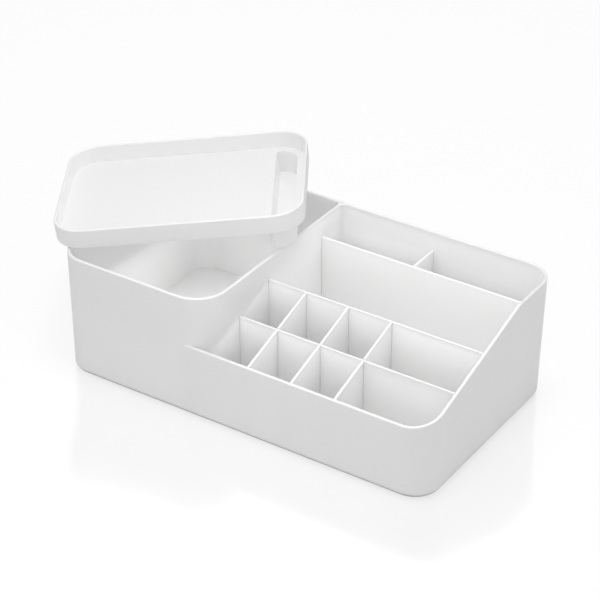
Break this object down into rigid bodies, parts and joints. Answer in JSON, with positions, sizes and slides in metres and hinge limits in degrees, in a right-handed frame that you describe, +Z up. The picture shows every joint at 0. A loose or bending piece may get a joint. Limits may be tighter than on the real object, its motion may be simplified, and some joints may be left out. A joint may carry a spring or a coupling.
{
  "type": "makeup organizer",
  "caption": "Moulded white organizer box with a tall open tower, a sloping block of divided compartments and a loose tray lid with a trough, lying askew on the tower.",
  "frame": {"origin": "middle of the flat base, on the table, below the middle of the box", "axes": "+X to the right (the tower is on the left), +Y to the back, +Z up"},
  "size_m": [0.3616, 0.1913, 0.1263],
  "materials": {
    "body": "gloss",
    "dividers": "gloss",
    "lid": "gloss"
  },
  "bodies": {
    "organizer": {"body_shell": "body", "front_divider": "dividers", "middle_divider": "dividers", "rear_divider": "dividers", "front_cross_divider_1": "dividers", "front_cross_divider_2": "dividers", "front_cross_divider_3": "dividers", "middle_cross_divider_1": "dividers", "middle_cross_divider_2": "dividers", "middle_cross_divider_3": "dividers", "rear_cross_divider": "dividers"},
    "lid": {"lid_tray": "lid"}
  },
  "joints": [
    {"name": "lid_lift", "type": "slide", "parent": "organizer", "child": "lid", "axis": [0, 0, 1], "range_m": [0, 0.08]}
  ]
}
